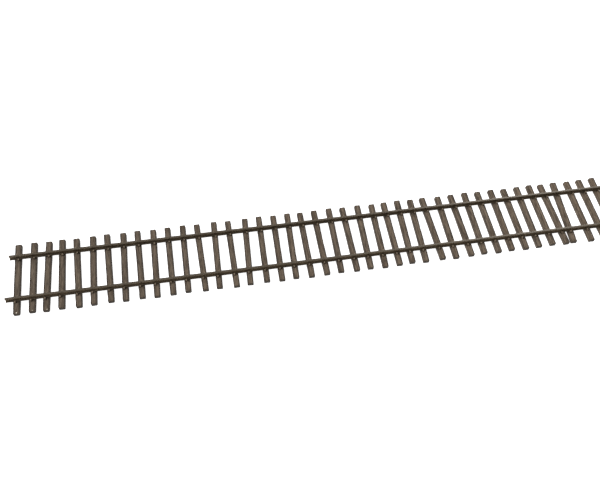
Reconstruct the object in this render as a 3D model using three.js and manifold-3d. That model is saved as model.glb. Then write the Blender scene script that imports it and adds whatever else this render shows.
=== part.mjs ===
// A cut length of flexible model railway track, 1:87 scale, standard gauge.
//
// Two flat-bottomed rails lie on a strip of moulded ties. Four spike heads on every tie hook over
// the feet of the rails, so the rails are held down but can still be pushed lengthwise. Short webs
// under the rails, on alternate sides, link each tie to the next.
//
// Frame: millimetres, +X along the rails, +Y across the track from the near rail to the far rail,
// +Z up. The origin is the middle of the track, on the plane of the undersides of the ties.

import * as THREE from "three";
import { mergeVertices } from "three/addons/utils/BufferGeometryUtils.js";
import Module from "manifold-3d";

const wasm = await Module();
wasm.setup();

// Track
const GAUGE = 16.5; // between the inner faces of the railheads
const TIE_COUNT = 44;
const TIE_PITCH = 5.7; // 19.5 inches at full size
const FIRST_TIE_X = -123.2;

// Rail, code 70 (0.070 inch high)
const RAIL_LENGTH = 250;
const RAIL_HEIGHT = 1.78;
const HEAD_WIDTH = 0.8;
const HEAD_SIDE = 0.3; // height of the upright side of the head, with its rounded corner
const HEAD_CORNER = 0.14;
const HEAD_SLOPE = 0.1; // how far the underside of the head falls towards the web
const WEB_WIDTH = 0.36;
const FOOT_WIDTH = 1.7;
const FOOT_EDGE = 0.22; // thickness of the foot at its edge
const FOOT_SLOPE = 0.14; // how far the foot rises from its edge to the fillet
const FILLET = 0.16;
const RAIL_STAGGER = 0.35; // the near rail lies this far to the left, the far rail to the right

// Tie
const TIE_LENGTH = 28.9;
const TIE_WIDTH = 2.4;
const TIE_HEIGHT = 1.5;
const TIE_CHAMFER = 0.12;
const TIE_DRAFT = 0.05; // how far each side leans in between the bottom and the chamfer

// Spike heads
const SPIKE_LENGTH = 0.55; // along the rail
const SPIKE_SHANK = 0.42; // across the rail
const SPIKE_TOP = 0.66; // above the tie
const SPIKE_UNDERSIDE = 0.4; // above the tie, where the head passes over the foot of the rail
const SPIKE_OVERHANG = 0.22; // how far the head reaches over the foot
const SPIKE_BEVEL = 0.14;
const SPIKE_ROOT = 0.4; // how deep the shank is sunk into the tie
const SPIKE_SPREAD = 0.34; // inner and outer spikes stand this far each side of the tie's middle

// Webs between the ties
const WEB_LINK_WIDTH = 0.7;
const WEB_LINK_HEIGHT = 0.5;
const WEB_LINK_DROP = 0.12; // from the top of the tie down to the top of the web
const WEB_LINK_ROOT = 0.4; // how far the web runs into its own tie

// Running clearance
const SEAT_GAP = 0.04; // under the foot of the rail
const SIDE_GAP = 0.07; // between the foot and the shank of a spike
const LINK_GAP = 0.08; // between the end of a web and the next tie

const RAIL_OFFSET = (GAUGE + HEAD_WIDTH) / 2; // from the middle of the track to each rail
const RAIL_BASE = TIE_HEIGHT + SEAT_GAP;
const ARC_SEGMENTS = 3;

// The ties aren't evenly laid: the strip is squeezed in some places and drawn out in others. Each
// pair is a tie, counted from the left end, and how far it has crept towards +X from its even
// place. The ties between two pairs share out the difference.
const TIE_CREEP = [
  [1, 1.4],
  [2, 1.2],
  [4, 0],
  [12, -0.5],
  [17, 0.5],
  [18, 0.5],
  [20, 0.1],
  [25, 0.6],
  [28, -0.3],
  [31, 0.5],
  [37, 0.4],
  [38, 0.1],
  [39, -1.1],
  [40, -0.1],
  [44, 0],
];
// Degrees by which a tie is turned from square, its far end towards +X. A tie that isn't named is
// turned by the slight turn, one way and the other by turns.
const TURNED_TIES = new Map([
  [3, 1.5],
  [5, -1.5],
  [7, -1.5],
  [9, -1],
  [13, -1.5],
  [14, 1.5],
  [16, 3],
  [17, 1.5],
  [18, 1.5],
  [19, 2],
  [22, 1],
  [24, 1.5],
  [25, 1.5],
  [27, 1.5],
  [28, 1.5],
  [29, -2],
  [31, -1],
  [38, -1.8],
  [39, 3.5],
]);
const SLIGHT_TURN = 0.3;
// The ends of the ties step in and out by this much across the track, tie after tie.
const TIE_STEP = [0, 0.2, -0.1, 0.1, -0.2];

const tieMaterial = new THREE.MeshStandardMaterial({
  color: 0x665a4d,
  roughness: 0.85,
  metalness: 0,
});
const railMaterial = new THREE.MeshStandardMaterial({
  color: 0x4e453a,
  roughness: 0.5,
  metalness: 0.7,
});

// An extrusion of a shape drawn across the track (shape x to +Y, shape y to +Z), running along +X.
function extrudeAlong(shape, length) {
  const geometry = new THREE.ExtrudeGeometry(shape, {
    depth: length,
    bevelEnabled: false,
    curveSegments: ARC_SEGMENTS,
  });
  const axes = new THREE.Matrix4().makeBasis(
    new THREE.Vector3(0, 1, 0),
    new THREE.Vector3(0, 0, 1),
    new THREE.Vector3(1, 0, 0),
  );
  return geometry.applyMatrix4(axes).translate(-length / 2, 0, 0);
}

// An extrusion of a shape drawn along the track (shape x to +X, shape y to +Z), running along Y.
function extrudeAcross(shape, length) {
  const geometry = new THREE.ExtrudeGeometry(shape, {
    depth: length,
    bevelEnabled: false,
    curveSegments: ARC_SEGMENTS,
  });
  return geometry.rotateX(Math.PI / 2).translate(0, length / 2, 0);
}

function toSolid(geometry) {
  const bare = geometry.clone();
  bare.deleteAttribute("normal");
  bare.deleteAttribute("uv");
  const merged = mergeVertices(bare, 1e-5);
  return new wasm.Manifold(
    new wasm.Mesh({
      numProp: 3,
      vertProperties: merged.getAttribute("position").array,
      triVerts: new Uint32Array(merged.index.array),
    }),
  );
}

function toGeometry(solid) {
  const mesh = solid.getMesh();
  const geometry = new THREE.BufferGeometry();
  geometry.setAttribute("position", new THREE.BufferAttribute(mesh.vertProperties, 3));
  geometry.setIndex(new THREE.BufferAttribute(mesh.triVerts, 1));
  const faceted = geometry.toNonIndexed();
  faceted.computeVertexNormals();
  return faceted;
}

// A closed four-sided profile of a block with a flat bottom, leaning sides and a chamfered top.
function blockProfile(bottomWidth, draft, height, chamfer) {
  const half = bottomWidth / 2;
  const shape = new THREE.Shape();
  shape.moveTo(-half, 0);
  shape.lineTo(half, 0);
  shape.lineTo(half - draft, height - chamfer);
  shape.lineTo(half - draft - chamfer, height);
  shape.lineTo(-(half - draft - chamfer), height);
  shape.lineTo(-(half - draft), height - chamfer);
  shape.closePath();
  return shape;
}

// Section of the rail, standing on y = 0 and centred on x = 0.
function railProfile() {
  const foot = FOOT_WIDTH / 2;
  const head = HEAD_WIDTH / 2;
  const web = WEB_WIDTH / 2;
  const webBottom = FOOT_EDGE + FOOT_SLOPE + FILLET;
  const headBottom = RAIL_HEIGHT - HEAD_SIDE;
  const webTop = headBottom - HEAD_SLOPE;
  const shape = new THREE.Shape();
  shape.moveTo(-foot, 0);
  shape.lineTo(foot, 0);
  shape.lineTo(foot, FOOT_EDGE);
  shape.lineTo(web + FILLET, FOOT_EDGE + FOOT_SLOPE);
  shape.quadraticCurveTo(web, FOOT_EDGE + FOOT_SLOPE, web, webBottom);
  shape.lineTo(web, webTop);
  shape.lineTo(head, headBottom);
  shape.lineTo(head, RAIL_HEIGHT - HEAD_CORNER);
  shape.absarc(head - HEAD_CORNER, RAIL_HEIGHT - HEAD_CORNER, HEAD_CORNER, 0, Math.PI / 2, false);
  shape.lineTo(-(head - HEAD_CORNER), RAIL_HEIGHT);
  shape.absarc(
    -(head - HEAD_CORNER),
    RAIL_HEIGHT - HEAD_CORNER,
    HEAD_CORNER,
    Math.PI / 2,
    Math.PI,
    false,
  );
  shape.lineTo(-head, headBottom);
  shape.lineTo(-web, webTop);
  shape.lineTo(-web, webBottom);
  shape.quadraticCurveTo(-web, FOOT_EDGE + FOOT_SLOPE, -(web + FILLET), FOOT_EDGE + FOOT_SLOPE);
  shape.lineTo(-foot, FOOT_EDGE);
  shape.closePath();
  return shape;
}

// Hook of one spike across the track: the foot of the rail ends at y = inner, and the shank
// stands beyond it, on the side that "outward" (+1 or -1) points to.
function spikeProfile(inner, outward) {
  const at = (reach, height) => new THREE.Vector2(inner + outward * reach, height);
  return new THREE.Shape([
    at(SIDE_GAP, TIE_HEIGHT - SPIKE_ROOT),
    at(SIDE_GAP + SPIKE_SHANK, TIE_HEIGHT - SPIKE_ROOT),
    at(SIDE_GAP + SPIKE_SHANK, TIE_HEIGHT + SPIKE_TOP - SPIKE_BEVEL),
    at(SIDE_GAP + SPIKE_SHANK - SPIKE_BEVEL, TIE_HEIGHT + SPIKE_TOP),
    at(SPIKE_BEVEL - SPIKE_OVERHANG, TIE_HEIGHT + SPIKE_TOP),
    at(-SPIKE_OVERHANG, TIE_HEIGHT + SPIKE_TOP - SPIKE_BEVEL),
    at(-SPIKE_OVERHANG, TIE_HEIGHT + SPIKE_UNDERSIDE),
    at(SIDE_GAP, TIE_HEIGHT + SPIKE_UNDERSIDE),
  ]);
}

// How far a tie has crept from its even place.
function creepOf(index) {
  const next = TIE_CREEP.findIndex(([number]) => number >= index + 1);
  const [nextNumber, nextCreep] = TIE_CREEP[next];
  if (nextNumber === index + 1) {
    return nextCreep;
  }
  const [lastNumber, lastCreep] = TIE_CREEP[next - 1];
  const share = (index + 1 - lastNumber) / (nextNumber - lastNumber);
  return THREE.MathUtils.lerp(lastCreep, nextCreep, share);
}

function tieX(index) {
  return FIRST_TIE_X + index * TIE_PITCH + creepOf(index);
}

function skewOf(index) {
  const slight = index % 2 === 0 ? -SLIGHT_TURN : SLIGHT_TURN;
  return THREE.MathUtils.degToRad(TURNED_TIES.get(index + 1) ?? slight);
}

function stepOf(index) {
  return TIE_STEP[index % TIE_STEP.length];
}

// How far the middle line of a tie stands from its own centre, along X, where it meets y.
function middleAt(index, y) {
  return (y - stepOf(index)) * Math.tan(skewOf(index));
}

// The block of the tie, without its spikes: crossed extrusions give it a chamfer on all four sides.
function tieBlock(index) {
  const along = blockProfile(TIE_WIDTH, TIE_DRAFT, TIE_HEIGHT, TIE_CHAMFER);
  const across = blockProfile(TIE_LENGTH, TIE_DRAFT, TIE_HEIGHT, TIE_CHAMFER);
  const long = toSolid(extrudeAcross(along, TIE_LENGTH + 1));
  const wide = toSolid(extrudeAlong(across, TIE_WIDTH + 1));
  const block = toGeometry(long.intersect(wide));
  block.rotateZ(-skewOf(index));
  block.translate(0, stepOf(index), 0);
  return toSolid(block);
}

// The two spikes at one rail, one on each side of its foot, staggered along the rail.
function spikesAt(index, railY) {
  return [-1, 1].map((outward) => {
    const profile = spikeProfile(railY + (outward * FOOT_WIDTH) / 2, outward);
    const awayFromMiddle = Math.sign(railY) === outward;
    const stagger = awayFromMiddle ? -SPIKE_SPREAD : SPIKE_SPREAD;
    const spike = extrudeAlong(profile, SPIKE_LENGTH);
    spike.translate(middleAt(index, railY) + stagger, 0, 0);
    return toSolid(spike);
  });
}

// The web from this tie to the next one, under the far rail and the near rail by turns.
function linkFrom(index) {
  const y = index % 2 === 0 ? RAIL_OFFSET : -RAIL_OFFSET;
  const start = middleAt(index, y) + TIE_WIDTH / 2 - WEB_LINK_ROOT;
  const toNext = tieX(index + 1) - tieX(index);
  const end = toNext + middleAt(index + 1, y) - TIE_WIDTH / 2 - LINK_GAP;
  const link = new THREE.BoxGeometry(end - start, WEB_LINK_WIDTH, WEB_LINK_HEIGHT);
  const top = TIE_HEIGHT - WEB_LINK_DROP;
  link.translate((start + end) / 2, y, top - WEB_LINK_HEIGHT / 2);
  return toSolid(link);
}

function makeTie(index) {
  let solid = tieBlock(index);
  for (const railY of [-RAIL_OFFSET, RAIL_OFFSET]) {
    for (const spike of spikesAt(index, railY)) {
      solid = solid.add(spike);
    }
  }
  if (index + 1 < TIE_COUNT) {
    solid = solid.add(linkFrom(index));
  }
  const tie = new THREE.Mesh(toGeometry(solid), tieMaterial.clone());
  tie.name = `tie_${String(index + 1).padStart(2, "0")}`;
  tie.position.x = tieX(index);
  return tie;
}

function makeRail(name, side) {
  const rail = new THREE.Mesh(extrudeAlong(railProfile(), RAIL_LENGTH), railMaterial.clone());
  rail.name = name;
  rail.position.set(side * RAIL_STAGGER, side * RAIL_OFFSET, RAIL_BASE);
  return rail;
}

const tieStrip = new THREE.Group();
for (let index = 0; index < TIE_COUNT; index += 1) {
  tieStrip.add(makeTie(index));
}

const track = new THREE.Group();
track.add(tieStrip);
track.add(makeRail("rail_near", -1));
track.add(makeRail("rail_far", 1));

export default track;
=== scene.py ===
"""A weathered length of 1:87 flexible model track on a white studio table.

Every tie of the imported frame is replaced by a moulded, wood-grained tie with rounded spike heads, and
both rails by finely drawn ones. Lengths are in millimetres until a mesh is made, then in metres.
"""

import math

import bpy
import numpy as np
from mathutils import Matrix, Vector


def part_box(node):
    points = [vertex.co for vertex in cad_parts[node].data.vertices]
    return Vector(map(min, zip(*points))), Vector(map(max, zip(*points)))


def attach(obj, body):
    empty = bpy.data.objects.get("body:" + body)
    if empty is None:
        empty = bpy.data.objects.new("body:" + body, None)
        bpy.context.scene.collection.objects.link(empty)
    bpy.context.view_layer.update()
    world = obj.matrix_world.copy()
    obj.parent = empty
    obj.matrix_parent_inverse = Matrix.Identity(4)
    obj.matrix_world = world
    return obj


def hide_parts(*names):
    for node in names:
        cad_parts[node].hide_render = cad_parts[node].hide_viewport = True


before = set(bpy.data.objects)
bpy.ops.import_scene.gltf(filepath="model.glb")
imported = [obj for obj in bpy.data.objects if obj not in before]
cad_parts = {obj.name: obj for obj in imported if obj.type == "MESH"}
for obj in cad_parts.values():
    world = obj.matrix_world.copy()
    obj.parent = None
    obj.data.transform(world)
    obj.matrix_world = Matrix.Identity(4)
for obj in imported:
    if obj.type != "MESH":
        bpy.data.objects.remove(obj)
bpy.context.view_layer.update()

MM = 0.001
SEED = 87
SEED_STEP = 17  # from one tie's seed to the next one's
TINT_SEED = 9  # added to a tie's seed for its colours

# Camera: where it stands in the track's frame, where it points, and its field of view
CAMERA_AT = Vector((-50.75, -123.7, 218.2)) * MM
CAMERA_AZIMUTH = 15.36  # degrees from +Y towards +X
CAMERA_ELEVATION = 59.94  # degrees looking down
CAMERA_ROLL = 6.3  # degrees
LENS = 39.17  # mm on a sensor 36 mm wide
SENSOR = 36.0

# Ties
EDGE_ROUND_TOP = np.array([0.2, 0.28, 0.14])  # radii across, along and up, at the top of a tie
EDGE_ROUND_BOTTOM = np.array([0.07, 0.09, 0.07])
LEAN = 0.05  # how far each side leans in from bottom to top
ROUND_STEPS = 4  # grid steps in each rounded edge
CORNER_NEAR = (0.62, 0.22)  # mean corner radius of the near ends, at the left and the right end
CORNER_FAR = 0.34  # the same at the far ends
CORNER_SPREAD = 0.3  # how much a corner differs from the mean, as a share
CORNER_ZONE = 0.85  # length of the finely gridded stretch at each end of a tie
CORNER_STEPS = 10
STEP_ACROSS = 0.11
STEP_ALONG = 0.6
STEP_UP = 0.22
# The carved grain: each pattern's cell across and along a tie, and where its lattice starts
GRAIN_CELL = (0.19, 2.8)
GRAIN_START = 31
FINE_CELL = (0.3, 0.9)
FINE_SHARE = 0.3
GRAIN_DEPTH = 0.045
CRACK_CELL = (0.55, 7.0)
CRACK_START = 7
CRACK_SHARPNESS = 6
CRACKED_CELL = (2, 5.0)  # cracks show only in some places, and this is how large those are
CRACKED_START = 3
CRACKED_ABOVE = 0.1
CRACK_DEPTH = 0.07
SIDE_GRAIN = 0.4  # the sides are carved less deep than the top, by these shares
SIDE_WAVER_SHARE = 0.6
SIDE_WAVER = 0.02
SIDE_WAVER_CELL = 3.5
SIDE_WAVER_START = 5
NICKS_PER_EDGE = 3
NICK_REACH = (0.35, 1.1)
NICK_DEPTH = 0.12
NICK_DROP = 0.5  # how far a nick also lowers the top, as a share of its depth
NICK_WEAR = 0.5
END_SKEW = 0.05  # how far an end is sawn out of square
END_WEAR = 0.06
END_WEAR_SPREAD = 0.05
END_WEAR_CELL = 0.5
END_SHADE_REACH = 0.5  # how far the painted shade at an end reaches in
# how dark the painted shade at an end is, as a share of the full edge shade
END_DARKNESS = 0.8
# The painted shade at a long edge starts and is full at these shares of the tie's half width.
EDGE_ZONE = (0.4, 0.88)
# How dark the painted shade on the two long edges is, at the left end and at the right end of the track
LEFT_EDGE_SHADE = (1.25, 0.2)
RIGHT_EDGE_SHADE = (0.7, 1.4)
NEAR_SHADOW_AND_DIRT = 0.5  # the painted shadow and dirt beside a rail fade over this distance on its near side
# and over this distance on its far side
FAR_SHADOW_AND_DIRT = 0.2
TIE_PAINTED_SHADE = (3.4, 0.2)  # painted shade: how much darker the ties are at the left end and at the right end
CHIP_SIZE = (0.26, 0.3)  # pale chips near the ends of a few ties, across and along
CHIP_INSET = 0.5  # from the end of the tie
# Where across the tie each chip lies and how pale it is
CHIPS = {"tie_01": (0.05, 1.0), "tie_02": (0.2, 0.4), "tie_03": (0.45, 0.5)}
NO_CHIP = (0.0, 0.0)
GRAIN_PLACES = 400  # each tie's pattern is taken from a place this far off at most

# Spike heads
FOOT_OVERHANG = 0.22  # how far a head reaches over the foot of the rail
SIDE_GAP = 0.07  # between the foot and the shank
SPIKE_SHANK = 0.42
SPIKE_UNDERSIDE = 0.4  # above the tie
SPIKE_ROOT = 0.3  # how deep the shank is sunk into the tie
SPIKE_ROUND = 0.13
SPIKE_ROUND_STEPS = 3
SPIKE_BEVEL = 0.05
SPIKES_FROM = 0.1  # points of a tie higher than this above its top belong to its spikes
HIGHLIGHT_FROM = 0.2  # height above the tie from which a spike head gets its painted highlight

# Webs between the ties
WEB_LINK_DROP = 0.12  # from the top of the tie down to the top of the web
WEB_LINK_HEIGHT = 0.5
WEB_LINK_REACH = 0.3  # how far a web runs into the tie at either end
WEB_LINK_ROUND = 0.08
WEB_LINK_STEP = 0.4

# Rail section
SEAT_GAP = 0.04  # between the top of a tie and the foot of the rail
RAIL_HEIGHT = 1.78
HEAD_WIDTH = 0.8
HEAD_SIDE = 0.3
HEAD_CORNER = 0.11
HEAD_SLOPE = 0.1
WEB_WIDTH = 0.36
FOOT_WIDTH = 1.7
FOOT_EDGE = 0.22
FOOT_SLOPE = 0.14
FILLET = 0.16
SMALL_ROUND = 0.04
NECK_ROUND = 0.06  # where the web meets the head
NECK_DROP = 0.02
HEAD_FLAT = 0.12  # half the width of the flat along the top
RAIL_STEP = 2.5
END_BEVEL = 0.05
BEVEL_KNEE = 0.3  # where the middle edge of a rounded bevel lies, as a share of the bevel
HEAD_POLISH_AND_SHEEN = (0.0, 1.0)  # how polished the railhead is, and how strong its painted sheen, at the left end and at the right end
RAIL_GRAIN_SHIFT = 40  # keeps the two rails' patterns apart

# Colours, as sRGB levels from 0 to 255
TIE_COLOURS = {
    "dark": (62, 52, 42),
    "light": (126, 111, 95),
    "band": (72, 62, 50),
    "patch": (108, 89, 69),
    "warm": (105, 87, 68),
    # the random tone of a tie, and also the painted shade that darkens the ties towards the left end
    "dull": (78, 68, 57),
    "grain": (58, 49, 40),
    "dust": (132, 120, 105),
    # painted shade, darker towards the bottom of a tie's sides
    "low_side_shade": (56, 48, 39),
    # painted shade at the long edges and ends of a tie
    "edge": (42, 35, 28),
    # painted shadow and dirt beside the rails
    "shadow_and_dirt": (56, 48, 38),
    "rubbed_and_highlit": (128, 114, 97),
    # pale wear in the nicks, and the painted highlight on the spike crowns
    "crack": (46, 39, 32),
    "chip": (215, 206, 190),
}
RAIL_COLOURS = {
    "dark": (80, 67, 49),
    "light": (101, 86, 64),
    "streak": (112, 97, 74),
    "rust": (108, 80, 53),
    # painted shade, darker towards the bottom of the rail
    "foot": (38, 31, 22),
    "dull_head": (60, 52, 40),
    "polished_sheen_head": (93, 85, 73),
    # the painted sheen on the railhead
    "cut_end": (140, 122, 96),
}

# Studio, in metres
FLOOR_HALF = 6.0
FLOOR_DROP = 0.00005  # keeps the floor clear of the undersides of the ties
FLOOR_GLOW = 0.95
CLIP = (0.01, 50)
SKY_LIGHT = 0.3  # how much light the sky gives
SKY_SEEN = 1.0  # how bright it looks above the edge of the table


# ---------------------------------------------------------------- mesh helpers


def make_object(name, vertices, faces, sharp_degrees=40):
    """A smooth-shaded mesh object from vertices in millimetres."""
    mesh = bpy.data.meshes.new(name)
    mesh.from_pydata((np.asarray(vertices) * MM).tolist(), [], [list(face) for face in faces])
    mesh.validate()
    mesh.polygons.foreach_set("use_smooth", [True] * len(mesh.polygons))
    mesh.update()
    mark_sharp(mesh, math.radians(sharp_degrees))
    obj = bpy.data.objects.new(name, mesh)
    bpy.context.scene.collection.objects.link(obj)
    return obj


def mark_sharp(mesh, angle):
    """Marks the edges whose two faces meet at more than the angle."""
    normals = np.zeros(len(mesh.polygons) * 3)
    mesh.polygons.foreach_get("normal", normals)
    normals = normals.reshape(-1, 3)
    loop_edges = np.zeros(len(mesh.loops), int)
    mesh.loops.foreach_get("edge_index", loop_edges)
    sizes = np.zeros(len(mesh.polygons), int)
    mesh.polygons.foreach_get("loop_total", sizes)
    owners = np.repeat(np.arange(len(sizes)), sizes)
    order = np.argsort(loop_edges, kind="stable")
    edges, owners = loop_edges[order], owners[order]
    paired = np.nonzero(edges[:-1] == edges[1:])[0]
    cosines = (normals[owners[paired]] * normals[owners[paired + 1]]).sum(1)
    sharp = np.zeros(len(mesh.edges), bool)
    sharp[edges[paired]] = cosines < math.cos(angle)
    mesh.edges.foreach_set("use_edge_sharp", sharp)


def set_attribute(obj, name, values):
    """Stores one vector per vertex for the materials to read."""
    layer = obj.data.attributes.new(name, "FLOAT_VECTOR", "POINT")
    layer.data.foreach_set("vector", np.asarray(values, np.float32).ravel())


def join_parts(parts):
    """One vertex array and one face list from several (vertices, faces) pairs."""
    vertices, faces, start = [], [], 0
    for part_vertices, part_faces in parts:
        vertices.append(part_vertices)
        faces += [[index + start for index in face] for face in part_faces]
        start += len(part_vertices)
    return np.concatenate(vertices), faces


def box_shell(us, vs, zs):
    """The surface of a box as a shared-vertex grid with lines at the given coordinates."""
    nu, nv, nz = len(us), len(vs), len(zs)
    grid = np.full((nu, nv, nz), -1)
    outside = np.ones((nu, nv, nz), bool)
    outside[1:-1, 1:-1, 1:-1] = False
    grid[outside] = np.arange(outside.sum())
    place = np.stack(np.meshgrid(us, vs, zs, indexing="ij"), axis=-1)[outside]

    def quads(sheet, flip):
        corners = [sheet[:-1, :-1], sheet[1:, :-1], sheet[1:, 1:], sheet[:-1, 1:]]
        if flip:
            corners.reverse()
        return np.stack(corners, axis=-1).reshape(-1, 4).tolist()

    faces = quads(grid[:, :, -1], False) + quads(grid[:, :, 0], True)
    faces += quads(grid[-1, :, :], False) + quads(grid[0, :, :], True)
    faces += quads(grid[:, -1, :].T, False) + quads(grid[:, 0, :].T, True)
    return place, faces


def graded(half, radius, step, edge_steps=ROUND_STEPS):
    """Coordinates from -half to half: fine inside each rounded edge, even between them."""
    edge = half - radius * (1 - np.linspace(0, 1, edge_steps + 1))
    inner = half - radius
    count = max(2, int(round(2 * inner / step)))
    middle = np.linspace(-inner, inner, count + 1)[1:-1]
    return np.concatenate([-edge[::-1], middle, edge])


def round_box(points, half, top, bottom):
    """Rounds the edges of a box shell with radii that go from bottom to top with height."""
    height = np.clip((points[:, 2:3] / half[2] + 1) / 2, 0, 1)
    radii = bottom + (top - bottom) * height
    radii[:, 2] = np.where(points[:, 2] > 0, top[2], bottom[2])
    inner = half - radii
    core = np.clip(points, -inner, inner)
    reach = (points - core) / radii
    length = np.linalg.norm(reach, axis=1, keepdims=True)
    return core + radii * reach / np.maximum(length, 1e-9) * (length > 0)


def smooth_noise(x, y, seed):
    """Lattice noise from -1 to 1 with a lattice spacing of 1."""
    size = 97
    table = np.random.default_rng(seed).uniform(-1, 1, (size, size))
    x0, y0 = np.floor(x).astype(int), np.floor(y).astype(int)
    fx, fy = x - x0, y - y0
    fx, fy = fx * fx * (3 - 2 * fx), fy * fy * (3 - 2 * fy)

    def at(i, j):
        return table[(x0 + i) % size, (y0 + j) % size]

    low = at(0, 0) * (1 - fx) + at(1, 0) * fx
    high = at(0, 1) * (1 - fx) + at(1, 1) * fx
    return low * (1 - fy) + high * fy


def cell_noise(x, y, cell, seed, start=0):
    """Lattice noise with cells of the given size, its lattice shifted by the start along x."""
    return smooth_noise(x / cell[0] + start, y / cell[1], seed)


# ---------------------------------------------------------------- ties


def read_tie(node):
    """Where a packed tie lies: its block's centre, directions and size, and all its points."""
    points = np.array([vertex.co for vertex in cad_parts[node].data.vertices]) / MM
    points = np.unique(points.round(4), axis=0)
    base = points[points[:, 2] < 0.001]
    base = base[np.argsort(base[:, 1])]
    near, far = base[:2, :2].mean(0), base[-2:, :2].mean(0)
    along = (far - near) / np.linalg.norm(far - near)
    return {
        "centre": (near + far) / 2,
        "along": along,
        "across": np.array([along[1], -along[0]]),
        "length": float(np.linalg.norm(far - near)),
        "width": float(np.linalg.norm(base[1, :2] - base[0, :2])),
        "points": points,
    }


TIE_NODES = sorted(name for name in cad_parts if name.startswith("tie_"))
RAIL_NODES = ["rail_near", "rail_far"]
RAIL_Y = [float((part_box(name)[0].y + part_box(name)[1].y) / 2 / MM) for name in RAIL_NODES]
RAIL_BASE = float(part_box(RAIL_NODES[0])[0].z / MM)
TIES = {name: read_tie(name) for name in TIE_NODES}
SPIKE_TOP = float(max(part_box(name)[1].z for name in TIE_NODES) / MM)
TRACK_LEFT = min(tie["centre"][0] for tie in TIES.values())
TRACK_RIGHT = max(tie["centre"][0] for tie in TIES.values())
TIE_TOP = RAIL_BASE - SEAT_GAP
WEB_LINK_TOP = TIE_TOP - WEB_LINK_DROP


def nick_profile(v, half_length, rng):
    """How deep an edge is nicked at each place along the tie."""
    depth = np.zeros_like(v)
    for _ in range(NICKS_PER_EDGE):
        place = rng.uniform(-half_length, half_length)
        reach = rng.uniform(*NICK_REACH)
        bite = rng.uniform(0.2, 1.0) * NICK_DEPTH
        depth = np.maximum(depth, bite * np.exp(-(((v - place) / reach) ** 2)))
    return depth


def ease(value, low, high):
    """A smooth step from 0 at low to 1 at high."""
    share = np.clip((value - low) / (high - low), 0, 1)
    return share * share * (3 - 2 * share)


def share_along(tie):
    """Where a tie lies along the track: 0 for the first tie, 1 for the last."""
    return (tie["centre"][0] - TRACK_LEFT) / (TRACK_RIGHT - TRACK_LEFT)


def between(pair, share):
    """The value that lies this share of the way from the first to the second."""
    return pair[0] + (pair[1] - pair[0]) * share


def rounded_plan(u, v, half, near_radius, rng):
    """The share of its full width that a tie has at each place: its corners are round."""
    spread = rng.uniform(1 - CORNER_SPREAD, 1 + CORNER_SPREAD, 4)
    far_radius = CORNER_FAR * np.where(u > 0, spread[0], spread[1])
    near_radius = near_radius * np.where(u > 0, spread[2], spread[3])
    radius = np.where(v > 0, far_radius, near_radius)
    past = np.clip(np.abs(v) - (half[1] - radius), 0, radius)
    return 1 - (radius - np.sqrt(radius**2 - past**2)) / half[0]


def shade_dirt_and_chips_on(name, tie, u, v, track_y):
    """How much painted shade darkens each point at the tie's edges and ends, how much painted shadow
    and dirt darken it beside the rails, and how pale it is where chipped.
    """
    share = share_along(tie)
    # Painted shade along the long edges: the left edges darkest at the left end, the right edges
    # darkest at the right end
    shaded_sides = ease(np.abs(u) / (tie["width"] / 2), *EDGE_ZONE)
    shaded_sides *= np.where(u < 0, between(LEFT_EDGE_SHADE, share), between(RIGHT_EDGE_SHADE, share))
    ends = ease(np.abs(v), tie["length"] / 2 - END_SHADE_REACH, tie["length"] / 2)
    beside = np.zeros_like(u)
    # Painted shadow and dirt beside each rail, reaching further on its near side
    for rail_y in RAIL_Y:
        near = np.exp(-np.clip(rail_y - FOOT_WIDTH / 2 - track_y, 0, None) / NEAR_SHADOW_AND_DIRT)
        far = np.exp(-np.clip(track_y - rail_y - FOOT_WIDTH / 2, 0, None) / FAR_SHADOW_AND_DIRT)
        beside = np.maximum(beside, np.minimum(near, far))
    across, _ = CHIPS.get(name, NO_CHIP)
    chip_v = -tie["length"] / 2 + CHIP_INSET
    chip = np.exp(-(((u - across) / CHIP_SIZE[0]) ** 2) - ((v - chip_v) / CHIP_SIZE[1]) ** 2)
    return np.column_stack([np.maximum(shaded_sides, END_DARKNESS * ends), beside, chip])


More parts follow.
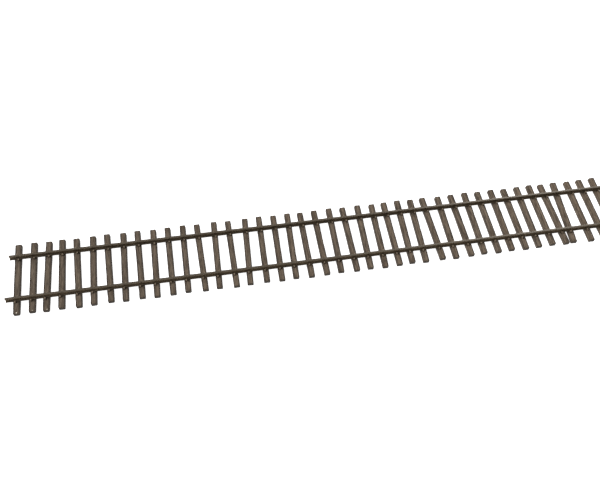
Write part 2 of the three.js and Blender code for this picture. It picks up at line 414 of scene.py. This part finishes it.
def tie_block(tie, seed):
    """The worn, wood-grained block of one tie, in its own directions (across, along, up)."""
    rng = np.random.default_rng(seed)
    half = np.array([tie["width"] / 2, tie["length"] / 2, TIE_TOP / 2])
    us = graded(half[0], EDGE_ROUND_TOP[0], STEP_ACROSS)
    vs = graded(half[1], CORNER_ZONE, STEP_ALONG, CORNER_STEPS)
    zs = graded(half[2], EDGE_ROUND_TOP[2], STEP_UP)
    flat, faces = box_shell(us, vs, zs)
    points = round_box(flat, half, EDGE_ROUND_TOP, EDGE_ROUND_BOTTOM)
    u, v, z = flat.T
    height = (z / half[2] + 1) / 2
    top = flat[:, 2] > half[2] - 1e-6
    side = np.abs(flat[:, 0]) > half[0] - 1e-6
    end = np.abs(flat[:, 1]) > half[1] - 1e-6

    around = np.where(side & ~top, np.sign(u) * (half[0] + half[2] - z), u)
    coarse = cell_noise(around, v, GRAIN_CELL, seed, GRAIN_START) * 0.5 + 0.5
    fine = cell_noise(around, v, FINE_CELL, seed + 1) * 0.5 + 0.5
    grain = (1 - FINE_SHARE) * coarse + FINE_SHARE * fine
    ridge = 1 - np.abs(cell_noise(around, v, CRACK_CELL, seed + 2, CRACK_START)) * CRACK_SHARPNESS
    cracked = cell_noise(u, v, CRACKED_CELL, seed + 3, CRACKED_START) > CRACKED_ABOVE
    crack = np.clip(ridge, 0, 1) * cracked
    depth = GRAIN_DEPTH * grain + CRACK_DEPTH * crack

    edge_place = np.sign(u) * SIDE_WAVER_START
    waver = SIDE_WAVER * (1 + smooth_noise(edge_place, v / SIDE_WAVER_CELL, seed + 4))
    nicks = np.where(u > 0, nick_profile(v, half[1], rng), nick_profile(v, half[1], rng))
    skew_cut = rng.uniform(-END_SKEW, END_SKEW, 2)
    end_noise = smooth_noise(u / END_WEAR_CELL, z / END_WEAR_CELL, seed + 5)
    end_worn = END_WEAR + END_WEAR_SPREAD * end_noise

    near_radius = between(CORNER_NEAR, share_along(tie))
    points[:, 0] *= rounded_plan(u, v, half, near_radius, rng)
    lean = LEAN * height
    points[:, 0] -= np.sign(u) * np.where(side, waver * SIDE_WAVER_SHARE + depth * SIDE_GRAIN, 0)
    points[:, 0] *= 1 - lean / half[0]
    edge_zone = np.abs(u) > half[0] - EDGE_ROUND_TOP[0] - 1e-6
    points[:, 0] -= np.sign(u) * nicks * edge_zone * np.clip(height * 2 - 1, 0, 1)
    points[:, 2] -= np.where(top, depth + nicks * edge_zone * NICK_DROP, 0)
    cut = np.where(v > 0, skew_cut[0], skew_cut[1]) * u / half[0]
    points[:, 1] -= np.sign(v) * np.where(end, end_worn + cut, 0)
    points[:, 2] += half[2]

    wear = NICK_WEAR * np.clip(nicks / NICK_DEPTH, 0, 1) * edge_zone
    # The height also sets the painted shade low on the sides
    look = np.stack([wear, height, crack], axis=1)
    return points, faces, flat, look


def place(points, tie):
    """Turns a block from its own directions to where its tie lies."""
    across, along = tie["across"], tie["along"]
    flat = points[:, :1] * across + points[:, 1:2] * along + tie["centre"]
    return np.column_stack([flat, points[:, 2]])


def arc(centre, radius, start, stop, steps):
    """Points on an arc, angles in degrees."""
    angles = np.radians(np.linspace(start, stop, steps + 1))
    return [(centre[0] + radius * math.cos(a), centre[1] + radius * math.sin(a)) for a in angles]


def prism(outline, xs, insets):
    """A closed loft of a (y, z) outline along x, pulled in towards its middle by each inset."""
    outline = np.array(outline)
    middle = outline.mean(0)
    count = len(outline)
    toward = middle - outline
    toward /= np.linalg.norm(toward, axis=1, keepdims=True)
    rings = []
    for x, inset in zip(xs, insets, strict=True):
        ring = outline + toward * inset
        rings.append(np.column_stack([np.full(count, x), ring]))
    vertices = np.concatenate(rings)
    faces = []
    for ring in range(len(xs) - 1):
        for i in range(count):
            a, b = ring * count + i, ring * count + (i + 1) % count
            faces.append([a, b, b + count, a + count])
    faces.append(list(range(count))[::-1])
    faces.append([(len(xs) - 1) * count + i for i in range(count)])
    return vertices, faces


def spike(foot_edge, outward, x_lo, x_hi):
    """One moulded spike head with rounded edges, hooked over the foot of the rail."""
    inner = foot_edge - outward * FOOT_OVERHANG
    outer = foot_edge + outward * (SPIKE_SHANK + SIDE_GAP)
    gap = foot_edge + outward * SIDE_GAP
    r, steps = SPIKE_ROUND, SPIKE_ROUND_STEPS
    shape = [(gap, TIE_TOP - SPIKE_ROOT), (outer, TIE_TOP - SPIKE_ROOT)]
    crown = arc((SPIKE_SHANK + SIDE_GAP - r, SPIKE_TOP - r), r, 0, 90, steps)
    crown += arc((-FOOT_OVERHANG + r, SPIKE_TOP - r), r, 90, 180, steps)
    shape += [(foot_edge + outward * reach, height) for reach, height in crown]
    shape += [(inner, TIE_TOP + SPIKE_UNDERSIDE), (gap, TIE_TOP + SPIKE_UNDERSIDE)]
    if outward < 0:
        shape.reverse()
    bevel, knee = SPIKE_BEVEL, SPIKE_BEVEL * BEVEL_KNEE
    xs = [x_lo, x_lo + knee, x_lo + bevel, x_hi - bevel, x_hi - knee, x_hi]
    return prism(shape, xs, [bevel, knee, 0, 0, knee, bevel])


def tie_spikes(tie):
    """The four spikes of a tie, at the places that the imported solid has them."""
    heads = tie["points"][tie["points"][:, 2] > TIE_TOP + SPIKES_FROM]
    made = []
    for rail_y in RAIL_Y:
        for outward in (-1, 1):
            foot_edge = rail_y + outward * FOOT_WIDTH / 2
            own = heads[np.abs(heads[:, 1] - foot_edge) < FOOT_WIDTH / 2]
            made.append(spike(foot_edge, outward, own[:, 0].min(), own[:, 0].max()))
    return made


def tie_link(tie):
    """The web from a tie to the next one, or nothing on the last tie."""
    bottom = WEB_LINK_TOP - WEB_LINK_HEIGHT
    foot = tie["points"][np.abs(tie["points"][:, 2] - bottom) < 0.01]
    if not len(foot):
        return []
    lo, hi = foot.min(0), foot.max(0)
    centre = np.array([(lo[0] + hi[0]) / 2, (lo[1] + hi[1]) / 2, bottom + WEB_LINK_HEIGHT / 2])
    half_length = (hi[0] - lo[0]) / 2 + WEB_LINK_REACH
    half = np.array([half_length, (hi[1] - lo[1]) / 2, WEB_LINK_HEIGHT / 2])
    radii = np.full(3, WEB_LINK_ROUND)
    shell, faces = box_shell(*(graded(h, WEB_LINK_ROUND, WEB_LINK_STEP) for h in half))
    return [(round_box(shell, half, radii, radii) + centre, faces)]


def build_tie(name, index, material):
    """One tie with its spikes and its web, and what its material reads at each vertex."""
    tie = TIES[name]
    seed = SEED + index * SEED_STEP
    block, faces, flat, look = tie_block(tie, seed)
    placed = place(block, tie)
    parts = [(placed, faces)] + tie_spikes(tie) + tie_link(tie)
    vertices, all_faces = join_parts(parts)
    obj = make_object(f"worn_{name}", vertices, all_faces)
    relative = vertices[:, :2] - tie["centre"]
    own = np.column_stack([relative @ tie["across"], relative @ tie["along"], vertices[:, 2]])
    rng = np.random.default_rng(seed + TINT_SEED)
    set_attribute(obj, "grain_place", own + rng.uniform(-GRAIN_PLACES, GRAIN_PLACES, 3))
    # A painted highlight on the crowns of the spike heads
    rubbed_and_highlit = ease(vertices[:, 2], TIE_TOP + HIGHLIGHT_FROM, SPIKE_TOP)
    looks = np.column_stack([rubbed_and_highlit, np.ones_like(rubbed_and_highlit), np.zeros_like(rubbed_and_highlit)])
    looks[: len(look)] = look
    set_attribute(obj, "wear", looks)
    shade_dirt_and_chips = np.zeros((len(vertices), 3))
    shade_dirt_and_chips[: len(look)] = shade_dirt_and_chips_on(name, tie, flat[:, 0], flat[:, 1], placed[:, 1])
    set_attribute(obj, "shade_dirt_and_chips", shade_dirt_and_chips)
    # A random tone plus painted shade that darkens the ties towards the left end
    darkness_and_shade = rng.uniform(0, 1) + between(TIE_PAINTED_SHADE, share_along(tie))
    tone_and_shade = np.array([darkness_and_shade, rng.uniform(0, 1), CHIPS.get(name, NO_CHIP)[1]])
    set_attribute(obj, "tone_and_shade", np.tile(tone_and_shade, (len(vertices), 1)))
    obj.data.materials.append(material)
    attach(obj, "tie_strip")
    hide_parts(name)


# ---------------------------------------------------------------- rails


def rail_outline():
    """The section of the rail as (y, z) points, anticlockwise, standing on z = 0."""
    foot, head, web = FOOT_WIDTH / 2, HEAD_WIDTH / 2, WEB_WIDTH / 2
    s = SMALL_ROUND
    rise = FOOT_EDGE + FOOT_SLOPE
    under_head = RAIL_HEIGHT - HEAD_SIDE
    half = arc((foot - s, s), s, -90, 0, 2)
    half += arc((foot - s, FOOT_EDGE - s), s, 0, 75, 2)
    half += arc((web + FILLET, rise + FILLET), FILLET, 260, 180, 4)
    neck = (web + NECK_ROUND, under_head - HEAD_SLOPE - NECK_DROP)
    half += arc(neck, NECK_ROUND, 180, 120, 2)
    half += arc((head - s, under_head + s), s, -60, 0, 2)
    half += arc((head - HEAD_CORNER, RAIL_HEIGHT - HEAD_CORNER), HEAD_CORNER, 0, 82, 5)
    half += [(HEAD_FLAT, RAIL_HEIGHT)]
    return half + [(-y, z) for y, z in reversed(half)]


def build_rail(name, body, material):
    """One rail, and what its material reads at each vertex."""
    lo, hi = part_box(name)
    x_lo, x_hi = lo.x / MM, hi.x / MM
    centre_y = (lo.y + hi.y) / 2 / MM
    count = int((x_hi - x_lo) / RAIL_STEP)
    inner = np.linspace(x_lo + END_BEVEL, x_hi - END_BEVEL, count)
    knee = END_BEVEL * BEVEL_KNEE
    xs = np.concatenate([[x_lo, x_lo + knee], inner, [x_hi - knee, x_hi]])
    insets = np.zeros(len(xs))
    insets[[0, -1]] = END_BEVEL * (1 - BEVEL_KNEE)
    insets[[1, -2]] = knee
    vertices, faces = prism(rail_outline(), xs, insets)
    vertices += [0, centre_y, RAIL_BASE]
    obj = make_object(f"drawn_{name}", vertices, faces)
    local = vertices - [x_lo, centre_y, RAIL_BASE]
    head = np.clip((local[:, 2] - (RAIL_HEIGHT - HEAD_CORNER)) / HEAD_CORNER, 0, 1)
    # Polish, and a painted sheen on the head that grows towards the right end
    polished_and_sheen = head * between(HEAD_POLISH_AND_SHEEN, local[:, 0] / (x_hi - x_lo))
    # Painted shade on the foot and lower web, darker towards the bottom of the rail
    foot = np.clip(1 - local[:, 2] / (FOOT_EDGE + FOOT_SLOPE + FILLET), 0, 1)
    end = (local[:, 0] < 1e-6) | (local[:, 0] > x_hi - x_lo - 1e-6)
    set_attribute(obj, "wear", np.column_stack([head, foot, end]))
    set_attribute(obj, "polish_and_sheen", np.column_stack([polished_and_sheen] * 3))
    set_attribute(obj, "grain_place", local + [0, RAIL_GRAIN_SHIFT * np.sign(centre_y), 0])
    obj.data.materials.append(material)
    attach(obj, body)
    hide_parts(name)


# ---------------------------------------------------------------- materials


class Nodes:
    """Short calls for building a material's node tree, one shader and one output to begin with."""

    def __init__(self, name):
        self.material = bpy.data.materials.new(name)
        self.material.use_nodes = True
        self.tree = self.material.node_tree
        self.tree.nodes.clear()
        self.shader = self.add("ShaderNodeBsdfPrincipled")
        output = self.add("ShaderNodeOutputMaterial")
        self.link(self.shader.outputs["BSDF"], output.inputs["Surface"])

    def add(self, kind, **settings):
        node = self.tree.nodes.new(kind)
        for key, value in settings.items():
            setattr(node, key, value)
        return node

    def link(self, source, target):
        self.tree.links.new(source, target)

    def feed(self, socket, value):
        if isinstance(value, bpy.types.NodeSocket):
            self.link(value, socket)
        else:
            socket.default_value = value

    def attribute(self, name):
        return self.add("ShaderNodeAttribute", attribute_name=name).outputs["Vector"]

    def split(self, vector):
        node = self.add("ShaderNodeSeparateXYZ")
        self.link(vector, node.inputs[0])
        return list(node.outputs)

    def stretch(self, vector, scale):
        node = self.add("ShaderNodeMapping")
        self.link(vector, node.inputs["Vector"])
        node.inputs["Scale"].default_value = scale
        return node.outputs["Vector"]

    def noise(self, vector, scale, detail=3.0, roughness=0.55):
        node = self.add("ShaderNodeTexNoise")
        self.link(self.stretch(vector, scale), node.inputs["Vector"])
        node.inputs["Scale"].default_value = 1.0
        node.inputs["Detail"].default_value = detail
        node.inputs["Roughness"].default_value = roughness
        return node.outputs["Fac"]

    def ramp(self, value, low, high, to_low=0.0, to_high=1.0):
        node = self.add("ShaderNodeMapRange", interpolation_type="SMOOTHSTEP")
        self.feed(node.inputs["Value"], value)
        node.inputs["From Min"].default_value = low
        node.inputs["From Max"].default_value = high
        node.inputs["To Min"].default_value = to_low
        node.inputs["To Max"].default_value = to_high
        return node.outputs["Result"]

    def math(self, operation, a, b):
        node = self.add("ShaderNodeMath", operation=operation)
        self.feed(node.inputs[0], a)
        self.feed(node.inputs[1], b)
        return node.outputs[0]

    def mix(self, factor, a, b, blend="MIX"):
        node = self.add("ShaderNodeMix", data_type="RGBA", blend_type=blend)
        self.feed(node.inputs[0], factor)
        self.feed(node.inputs[6], a)
        self.feed(node.inputs[7], b)
        return node.outputs[2]

    def bump(self, height, strength, distance):
        node = self.add("ShaderNodeBump")
        self.link(height, node.inputs["Height"])
        node.inputs["Strength"].default_value = strength
        node.inputs["Distance"].default_value = distance
        self.link(node.outputs["Normal"], self.shader.inputs["Normal"])


def colour(red, green, blue):
    """A linear RGBA colour from sRGB levels of 0 to 255."""

    def linear(level):
        share = level / 255
        return share / 12.92 if share <= 0.04045 else ((share + 0.055) / 1.055) ** 2.4

    return (linear(red), linear(green), linear(blue), 1.0)


def tie_material():
    """Matt brown moulded plastic, dry-brushed so that its wood grain shows, with painted shade at its
    edges, ends and lower sides, painted shadow beside the rails and painted highlights on the spike
    heads.
    """
    n = Nodes("weathered_tie_plastic")
    shade = {name: colour(*levels) for name, levels in TIE_COLOURS.items()}
    place_at = n.attribute("grain_place")
    wear, height, crack = n.split(n.attribute("wear"))
    tone_and_shade, warmth, paleness = n.split(n.attribute("tone_and_shade"))
    edge, beside, chip = n.split(n.attribute("shade_dirt_and_chips"))
    streaks = n.noise(place_at, scale=(2.2, 0.2, 2.2), detail=3.0, roughness=0.6)
    fine = n.noise(place_at, scale=(7.0, 0.6, 7.0), detail=3.0, roughness=0.6)
    bands = n.noise(place_at, scale=(1.35, 0.05, 1.35), detail=2.0, roughness=0.5)
    patches = n.noise(place_at, scale=(0.7, 0.3, 0.7), detail=2.0)
    specks = n.noise(place_at, scale=(2.6, 1.6, 2.6), detail=3.0, roughness=0.7)

    base = n.mix(n.ramp(streaks, 0.37, 0.6), shade["dark"], shade["light"])
    base = n.mix(n.ramp(bands, 0.42, 0.56, to_low=0.2, to_high=0.0), base, shade["band"])
    patchy = n.mix(n.ramp(patches, 0.45, 0.6, to_high=0.2), base, shade["patch"])
    warm = n.mix(n.ramp(warmth, 0.35, 1.0, to_high=0.2), patchy, shade["warm"])
    # random tone and painted shade towards the left end
    toned_and_shaded = n.mix(n.math("MULTIPLY", tone_and_shade, 0.14), warm, shade["dull"])
    grained = n.mix(n.ramp(fine, 0.32, 0.56, to_low=0.6, to_high=0.0), toned_and_shaded, shade["grain"])
    dusty = n.mix(n.ramp(specks, 0.56, 0.7, to_high=0.22), grained, shade["dust"])
    # painted shade: darker towards the bottom of the sides
    shaded_sides = n.mix(n.ramp(height, 0.3, 0.9, to_low=0.25, to_high=0.0), dusty, shade["low_side_shade"])
    # painted shade at the long edges and ends
    edge_shaded = n.mix(n.math("MULTIPLY", edge, 0.9), shaded_sides, shade["edge"])
    # painted shadow and dirt beside the rails
    shadowed_and_dirty = n.mix(n.math("MULTIPLY", beside, 0.1), edge_shaded, shade["shadow_and_dirt"])
    # pale wear in the nicks and a painted highlight on the spike crowns
    worn_and_highlit = n.mix(n.math("MULTIPLY", wear, 0.7), shadowed_and_dirty, shade["rubbed_and_highlit"])
    cracked = n.mix(n.math("MULTIPLY", crack, 0.6), worn_and_highlit, shade["crack"])
    outline = n.ramp(specks, 0.35, 0.65, to_low=-0.35, to_high=0.2)
    ragged = n.ramp(n.math("ADD", chip, outline), 0.42, 0.6)
    final = n.mix(n.math("MULTIPLY", ragged, paleness), cracked, shade["chip"])
    n.link(final, n.shader.inputs["Base Color"])
    dull = n.ramp(fine, 0.3, 0.7, to_low=0.92, to_high=0.74)
    n.link(dull, n.shader.inputs["Roughness"])
    n.shader.inputs["Specular IOR Level"].default_value = 0.3
    n.bump(n.math("ADD", fine, streaks), strength=0.5, distance=0.03 * MM)
    return n.material


def rail_material():
    """Nickel silver under a dark brown oxide, polished a little on the head, with a painted sheen on
    the head that grows towards the right end and painted shade on the foot.
    """
    n = Nodes("weathered_rail_metal")
    shade = {name: colour(*levels) for name, levels in RAIL_COLOURS.items()}
    place_at = n.attribute("grain_place")
    head, foot, cut_end = n.split(n.attribute("wear"))
    polished_and_sheen = n.split(n.attribute("polish_and_sheen"))[0]
    drawn = n.noise(place_at, scale=(0.25, 7.0, 7.0), detail=4.0, roughness=0.6)
    blotch = n.noise(place_at, scale=(0.35, 0.9, 0.9), detail=3.0, roughness=0.6)
    grit = n.noise(place_at, scale=(6.0, 6.0, 6.0), detail=3.0, roughness=0.7)

    base = n.mix(n.ramp(blotch, 0.35, 0.65), shade["dark"], shade["light"])
    streaked = n.mix(n.ramp(drawn, 0.4, 0.7, to_high=0.35), base, shade["streak"])
    rusty = n.mix(n.ramp(grit, 0.55, 0.75, to_high=0.4), streaked, shade["rust"])
    # painted shade, darker towards the bottom of the rail
    low = n.mix(n.math("MULTIPLY", foot, 0.95), rusty, shade["foot"])
    dulled = n.mix(n.math("MULTIPLY", head, 0.85), low, shade["dull_head"])
    # painted sheen on the polished head
    rubbed_and_highlit = n.mix(n.math("MULTIPLY", polished_and_sheen, 0.75), dulled, shade["polished_sheen_head"])
    final = n.mix(n.math("MULTIPLY", cut_end, 0.5), rubbed_and_highlit, shade["cut_end"])
    n.link(final, n.shader.inputs["Base Color"])
    n.shader.inputs["Metallic"].default_value = 0.2
    n.shader.inputs["Specular IOR Level"].default_value = 0.35
    dull = n.ramp(grit, 0.3, 0.7, to_low=0.5, to_high=0.66)
    smoother = n.ramp(polished_and_sheen, 0.0, 1.0, to_low=1.0, to_high=0.6)
    n.link(n.math("MULTIPLY", dull, smoother), n.shader.inputs["Roughness"])
    n.bump(n.math("ADD", grit, drawn), strength=0.35, distance=0.015 * MM)
    return n.material


# ---------------------------------------------------------------- studio


def floor_material():
    """A white table that glows faintly, so that it stays white in the shade of the track."""
    n = Nodes("white_table")
    place_at = n.add("ShaderNodeTexCoord").outputs["Object"]
    tint = n.noise(place_at, scale=(3.0, 3.0, 3.0), detail=2.0)
    n.link(n.mix(tint, (0.66, 0.66, 0.66, 1), (0.7, 0.7, 0.695, 1)), n.shader.inputs["Base Color"])
    n.shader.inputs["Roughness"].default_value = 0.9
    n.shader.inputs["Specular IOR Level"].default_value = 0.1
    n.shader.inputs["Emission Color"].default_value = (1, 1, 1, 1)
    n.shader.inputs["Emission Strength"].default_value = FLOOR_GLOW
    return n.material


def build_floor():
    """The table, out to where its edge is seen only in low views."""
    signs = [(-1, -1), (1, -1), (1, 1), (-1, 1)]
    corners = [(x * FLOOR_HALF, y * FLOOR_HALF, -FLOOR_DROP) for x, y in signs]
    mesh = bpy.data.meshes.new("floor")
    mesh.from_pydata(corners, [], [(0, 1, 2, 3)])
    floor = bpy.data.objects.new("floor", mesh)
    bpy.context.scene.collection.objects.link(floor)
    mesh.materials.append(floor_material())


def soft_light(name, at, power, size):
    """A rectangular light that points at the middle of the track."""
    light = bpy.data.lights.new(name, "AREA")
    light.energy = power
    light.shape = "RECTANGLE"
    light.size, light.size_y = size
    obj = bpy.data.objects.new(name, light)
    obj.location = at
    aim = -Vector(at)
    obj.rotation_mode = "QUATERNION"
    obj.rotation_quaternion = aim.to_track_quat("-Z", "Y")
    bpy.context.scene.collection.objects.link(obj)


def build_world():
    """A plain white sky that looks brighter than the light it gives."""
    world = bpy.data.worlds.new("studio")
    world.use_nodes = True
    tree = world.node_tree
    background = tree.nodes["Background"]
    background.inputs["Color"].default_value = (1.0, 1.0, 1.0, 1)
    seen = tree.nodes.new("ShaderNodeLightPath").outputs["Is Camera Ray"]
    strength = tree.nodes.new("ShaderNodeMapRange")
    tree.links.new(seen, strength.inputs["Value"])
    strength.inputs["To Min"].default_value = SKY_LIGHT
    strength.inputs["To Max"].default_value = SKY_SEEN
    tree.links.new(strength.outputs["Result"], background.inputs["Strength"])
    bpy.context.scene.world = world


def build_camera():
    """The camera, where the constants at the top put it."""
    data = bpy.data.cameras.new("camera")
    data.lens = LENS
    data.sensor_width = SENSOR
    data.sensor_fit = "HORIZONTAL"
    data.clip_start, data.clip_end = CLIP
    azimuth, elevation = math.radians(CAMERA_AZIMUTH), math.radians(CAMERA_ELEVATION)
    roll = math.radians(CAMERA_ROLL)
    forward = Vector((
        math.sin(azimuth) * math.cos(elevation),
        math.cos(azimuth) * math.cos(elevation),
        -math.sin(elevation),
    ))
    right = Vector((math.cos(azimuth), -math.sin(azimuth), 0))
    up = right.cross(forward)
    tilted_right = right * math.cos(roll) + up * math.sin(roll)
    tilted_up = up * math.cos(roll) - right * math.sin(roll)
    turn = Matrix((tilted_right, tilted_up, -forward)).transposed()
    camera = bpy.data.objects.new("camera", data)
    camera.matrix_world = Matrix.Translation(CAMERA_AT) @ turn.to_4x4()
    bpy.context.scene.collection.objects.link(camera)
    bpy.context.scene.camera = camera


build_camera()
build_world()
build_floor()
soft_light("overhead", at=(-1.8, 0.6, 2.25), power=92.0, size=(2.0, 2.0))
soft_light("back_sheen", at=(0.45, 0.5, 0.72), power=3.0, size=(0.3, 0.3))
bpy.context.scene.view_settings.view_transform = "Standard"

plastic = tie_material()
for number, tie_name in enumerate(TIE_NODES):
    build_tie(tie_name, number, plastic)

metal = rail_material()
build_rail("rail_near", "near_rail", metal)
build_rail("rail_far", "far_rail", metal)
